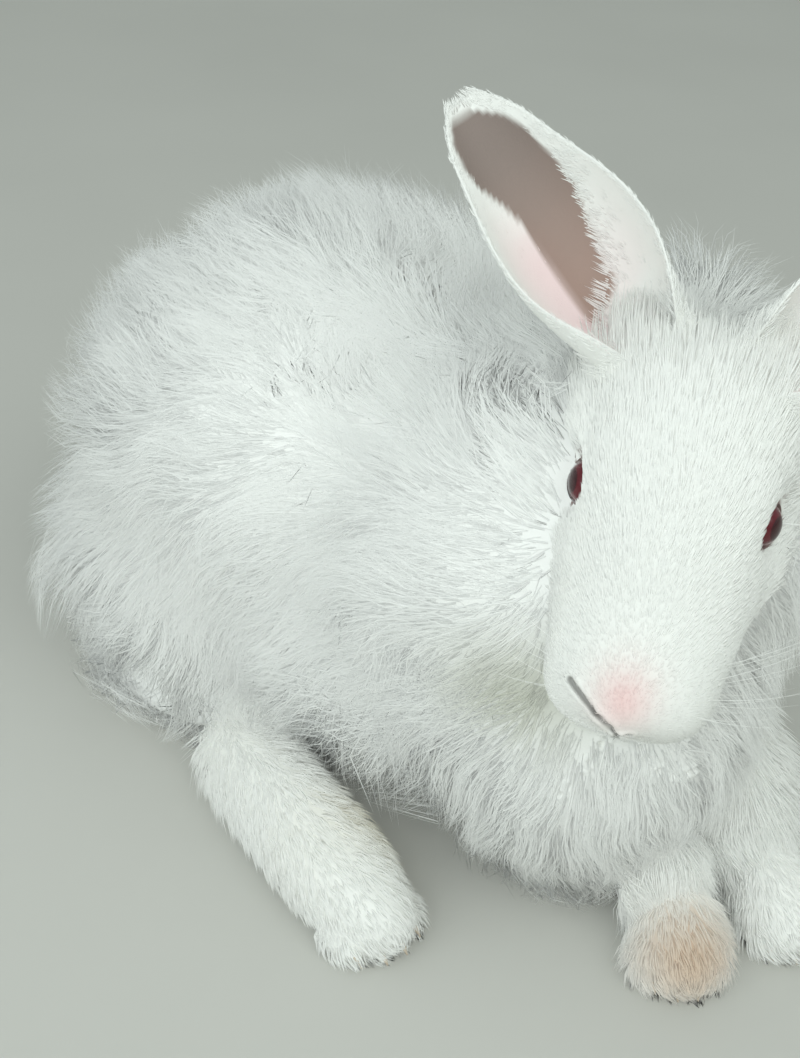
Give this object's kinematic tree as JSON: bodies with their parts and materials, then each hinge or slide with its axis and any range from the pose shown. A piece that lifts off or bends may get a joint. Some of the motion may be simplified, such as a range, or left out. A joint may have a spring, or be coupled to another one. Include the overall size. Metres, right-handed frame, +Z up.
{
  "type": "angora rabbit, sitting",
  "caption": "White long-haired angora rabbit sitting on its hind feet, head turned to its right, one life-size display model.",
  "frame": {"origin": "middle of the belly's flat, on the floor", "axes": "+Y from the breast to the rump, +Z up, +X to the rabbit's left"},
  "size_m": [0.2259, 0.3694, 0.248],
  "materials": {
    "wool": "soft white angora wool",
    "short_fur": "short dense white fur of face and feet",
    "ear_skin": "thin ear, white fur outside, pink-grey skin inside",
    "eye": "wet, dark red, glossy"
  },
  "bodies": {
    "root": {"torso": "wool", "neck": "wool", "tail": "wool", "head": "short_fur", "ear_right": "ear_skin", "ear_left": "ear_skin", "eye_right": "eye", "eye_left": "eye", "hind_leg_right": "short_fur", "hind_leg_left": "short_fur", "foreleg_right": "short_fur", "foreleg_left": "short_fur"}
  },
  "joints": []
}
